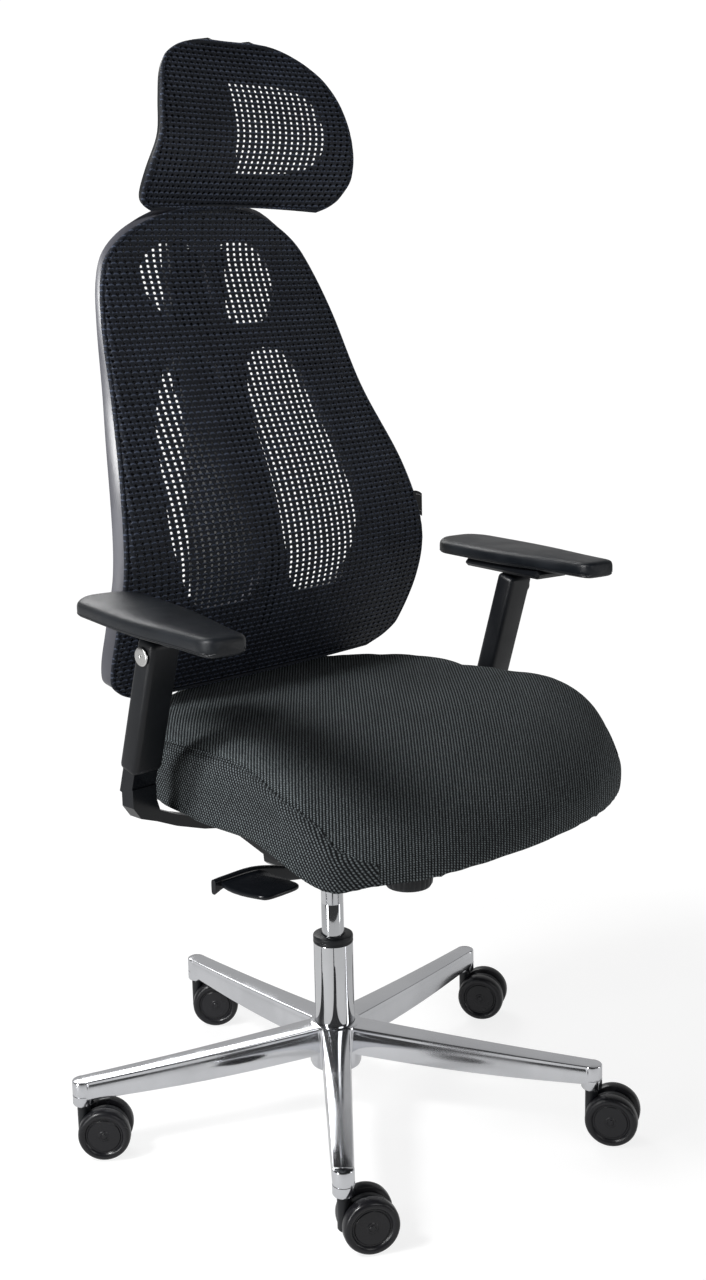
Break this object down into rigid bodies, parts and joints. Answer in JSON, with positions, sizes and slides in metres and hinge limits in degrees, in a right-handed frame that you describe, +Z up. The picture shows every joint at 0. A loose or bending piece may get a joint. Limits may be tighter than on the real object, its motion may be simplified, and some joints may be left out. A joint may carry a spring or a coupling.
{
  "type": "swivel office chair",
  "caption": "High-back task chair: mesh back with headrest, upholstered seat, height-adjustable arms, gas column and polished five-star base on twin-wheel castors.",
  "frame": {"origin": "centre of the bounding box in x and y, on the floor (z = 0)", "axes": "+Z up; the chair faces -Y; +X is the sitter's left"},
  "size_m": [0.7501, 0.6938, 1.317],
  "materials": {
    "polished_aluminium": "polished",
    "chrome": "mirror",
    "steel": "satin",
    "black_plastic": "fine grain",
    "black_casting": "semi gloss",
    "soft_tread": "satin",
    "arm_foam": "fine leather grain",
    "seat_fabric": "ribbed weave",
    "back_knit": "open knit"
  },
  "bodies": {
    "base": {"base_star": "polished_aluminium", "column_tube": "chrome", "guide_sleeve": "black_plastic", "thrust_bearing": "steel"},
    "rod": {"piston_rod": "steel"},
    "chair_body": {"gas_cylinder": "chrome", "mechanism_housing": "black_casting", "seat_tilt_pin": "steel", "back_tilt_pin_right": "steel", "back_tilt_pin_left": "steel", "tension_spring": "steel"},
    "release_pin": {"release_pin": "steel"},
    "height_lever": {"height_lever": "black_plastic"},
    "tilt_lock_lever": {"tilt_lock_lever": "black_plastic"},
    "tension_knob": {"tension_knob": "black_plastic"},
    "seat": {"seat_plate": "steel", "seat_pan": "black_plastic", "seat_cushion": "seat_fabric", "arm_bracket_right": "black_casting", "arm_bracket_left": "black_casting"},
    "backrest_bar": {"back_bar": "black_casting"},
    "backrest": {"back_shell": "black_plastic", "back_mesh": "back_knit"},
    "headrest_post": {"headrest_carrier": "black_plastic", "headrest_pin": "steel"},
    "headrest": {"headrest_shell": "black_plastic", "headrest_mesh": "back_knit"},
    "arm_right": {"arm_sleeve_right": "black_plastic"},
    "arm_button_right": {"arm_button_right": "chrome"},
    "pad_base_right": {"pad_base_right": "black_plastic"},
    "arm_pad_right": {"arm_pad_right": "arm_foam"},
    "arm_left": {"arm_sleeve_left": "black_plastic"},
    "arm_button_left": {"arm_button_left": "chrome"},
    "pad_base_left": {"pad_base_left": "black_plastic"},
    "arm_pad_left": {"arm_pad_left": "arm_foam"},
    "castor_1": {"castor_hood_1": "black_plastic", "castor_stem_1": "steel", "castor_axle_1": "steel"},
    "wheel_1a": {"castor_wheel_1a": "soft_tread"},
    "wheel_1b": {"castor_wheel_1b": "soft_tread"},
    "castor_2": {"castor_hood_2": "black_plastic", "castor_stem_2": "steel", "castor_axle_2": "steel"},
    "wheel_2a": {"castor_wheel_2a": "soft_tread"},
    "wheel_2b": {"castor_wheel_2b": "soft_tread"},
    "castor_3": {"castor_hood_3": "black_plastic", "castor_stem_3": "steel", "castor_axle_3": "steel"},
    "wheel_3a": {"castor_wheel_3a": "soft_tread"},
    "wheel_3b": {"castor_wheel_3b": "soft_tread"},
    "castor_4": {"castor_hood_4": "black_plastic", "castor_stem_4": "steel", "castor_axle_4": "steel"},
    "wheel_4a": {"castor_wheel_4a": "soft_tread"},
    "wheel_4b": {"castor_wheel_4b": "soft_tread"},
    "castor_5": {"castor_hood_5": "black_plastic", "castor_stem_5": "steel", "castor_axle_5": "steel"},
    "wheel_5a": {"castor_wheel_5a": "soft_tread"},
    "wheel_5b": {"castor_wheel_5b": "soft_tread"}
  },
  "joints": [
    {"name": "chair_swivel", "type": "hinge", "parent": "base", "child": "rod", "pos_m": [0.0037, 0.0011, 0.0737], "axis": [0, 0, 1], "continuous": true},
    {"name": "column_height", "type": "slide", "parent": "rod", "child": "chair_body", "axis": [0, 0, 1], "range_m": [-0.08, 0.02]},
    {"name": "back_tilt", "type": "hinge", "parent": "chair_body", "child": "backrest_bar", "pos_m": [0.0037, 0.0311, 0.352], "axis": [-1, 0, 0], "range_deg": [0, 22]},
    {"name": "seat_tilt", "type": "hinge", "parent": "chair_body", "child": "seat", "pos_m": [0.0037, -0.1039, 0.37], "axis": [-1, 0, 0], "range_deg": [0, 7]},
    {"name": "back_height", "type": "slide", "parent": "backrest_bar", "child": "backrest", "axis": [0, 0, 1], "range_m": [0, 0.055]},
    {"name": "headrest_height", "type": "slide", "parent": "backrest", "child": "headrest_post", "axis": [0, 0, 1], "range_m": [0, 0.05]},
    {"name": "headrest_tilt", "type": "hinge", "parent": "headrest_post", "child": "headrest", "pos_m": [0.0037, 0.2011, 1.21], "axis": [1, 0, 0], "range_deg": [-12, 6]},
    {"name": "height_lever_lift", "type": "hinge", "parent": "chair_body", "child": "height_lever", "pos_m": [-0.0513, -0.0859, 0.364], "axis": [0, 1, 0], "range_deg": [0, 6], "stiffness_Nm_per_rad": 4},
    {"name": "tilt_lock_lift", "type": "hinge", "parent": "chair_body", "child": "tilt_lock_lever", "pos_m": [0.0587, -0.0859, 0.364], "axis": [0, -1, 0], "range_deg": [0, 6]},
    {"name": "release_pin_press", "type": "slide", "parent": "chair_body", "child": "release_pin", "axis": [0, 0, -1], "range_m": [0, 0.003]},
    {"name": "tension_knob_turn", "type": "hinge", "parent": "chair_body", "child": "tension_knob", "pos_m": [0.0037, -0.1309, 0.3615], "axis": [0, 0, 1], "continuous": true},
    {"name": "arm_height_right", "type": "slide", "parent": "seat", "child": "arm_right", "axis": [0, -0.284, 0.9588], "range_m": [-0.015, 0.065]},
    {"name": "arm_button_right_press", "type": "slide", "parent": "arm_right", "child": "arm_button_right", "axis": [1, 0, 0], "range_m": [0, 0.002], "stiffness_N_per_m": 1500},
    {"name": "pad_swivel_right", "type": "hinge", "parent": "arm_right", "child": "pad_base_right", "pos_m": [-0.2943, -0.0546, 0.67579], "axis": [0, 0, 1], "range_deg": [0, 26]},
    {"name": "pad_slide_right", "type": "slide", "parent": "pad_base_right", "child": "arm_pad_right", "axis": [-0.225, -0.9744, 0], "range_m": [0, 0.04]},
    {"name": "arm_height_left", "type": "slide", "parent": "seat", "child": "arm_left", "axis": [0, -0.284, 0.9588], "range_m": [0, 0.08]},
    {"name": "arm_button_left_press", "type": "slide", "parent": "arm_left", "child": "arm_button_left", "axis": [-1, 0, 0], "range_m": [0, 0.002], "stiffness_N_per_m": 1500},
    {"name": "pad_swivel_left", "type": "hinge", "parent": "arm_left", "child": "pad_base_left", "pos_m": [0.3017, -0.05034, 0.66141], "axis": [0, 0, 1], "range_deg": [-2, 24]},
    {"name": "pad_slide_left", "type": "slide", "parent": "pad_base_left", "child": "arm_pad_left", "axis": [-0.1908, -0.9816, 0], "range_m": [-0.01, 0.03]},
    {"name": "castor_swivel_1", "type": "hinge", "parent": "base", "child": "castor_1", "pos_m": [0.3248, 0.06293, 0.06], "axis": [0, 0, 1], "continuous": true},
    {"name": "wheel_spin_1a", "type": "hinge", "parent": "castor_1", "child": "wheel_1a", "pos_m": [0.3378, 0.04042, 0.032], "axis": [0.866, 0.5, 0], "continuous": true},
    {"name": "wheel_spin_1b", "type": "hinge", "parent": "castor_1", "child": "wheel_1b", "pos_m": [0.3378, 0.04042, 0.032], "axis": [0.866, 0.5, 0], "continuous": true},
    {"name": "castor_swivel_2", "type": "hinge", "parent": "base", "child": "castor_2", "pos_m": [0.04412, 0.32559, 0.06], "axis": [0, 0, 1], "continuous": true},
    {"name": "wheel_spin_2a", "type": "hinge", "parent": "castor_2", "child": "wheel_2a", "pos_m": [0.06282, 0.30753, 0.032], "axis": [0.6947, 0.7193, 0], "continuous": true},
    {"name": "wheel_spin_2b", "type": "hinge", "parent": "castor_2", "child": "wheel_2b", "pos_m": [0.06282, 0.30753, 0.032], "axis": [0.6947, 0.7193, 0], "continuous": true},
    {"name": "castor_swivel_3", "type": "hinge", "parent": "base", "child": "castor_3", "pos_m": [-0.29242, 0.13981, 0.06], "axis": [0, 0, 1], "continuous": true},
    {"name": "wheel_spin_3a", "type": "hinge", "parent": "castor_3", "child": "wheel_3a", "pos_m": [-0.27372, 0.12175, 0.032], "axis": [0.6947, 0.7193, 0], "continuous": true},
    {"name": "wheel_spin_3b", "type": "hinge", "parent": "castor_3", "child": "wheel_3b", "pos_m": [-0.27372, 0.12175, 0.032], "axis": [0.6947, 0.7193, 0], "continuous": true},
    {"name": "castor_swivel_4", "type": "hinge", "parent": "base", "child": "castor_4", "pos_m": [-0.21973, -0.23766, 0.06], "axis": [0, 0, 1], "continuous": true},
    {"name": "wheel_spin_4a", "type": "hinge", "parent": "castor_4", "child": "wheel_4a", "pos_m": [-0.19744, -0.25105, 0.032], "axis": [0.515, 0.8572, 0], "continuous": true},
    {"name": "wheel_spin_4b", "type": "hinge", "parent": "castor_4", "child": "wheel_4b", "pos_m": [-0.19744, -0.25105, 0.032], "axis": [0.515, 0.8572, 0], "continuous": true},
    {"name": "castor_swivel_5", "type": "hinge", "parent": "base", "child": "castor_5", "pos_m": [0.16173, -0.28518, 0.06], "axis": [0, 0, 1], "continuous": true},
    {"name": "wheel_spin_5a", "type": "hinge", "parent": "castor_5", "child": "wheel_5a", "pos_m": [0.17473, -0.30769, 0.032], "axis": [0.866, 0.5, 0], "continuous": true},
    {"name": "wheel_spin_5b", "type": "hinge", "parent": "castor_5", "child": "wheel_5b", "pos_m": [0.17473, -0.30769, 0.032], "axis": [0.866, 0.5, 0], "continuous": true}
  ],
  "couplings": [
    {"joint": "seat_tilt", "follows": "back_tilt", "ratio": 0.31818},
    {"joint": "release_pin_press", "follows": "height_lever_lift", "m_per_rad": 0.02769}
  ]
}
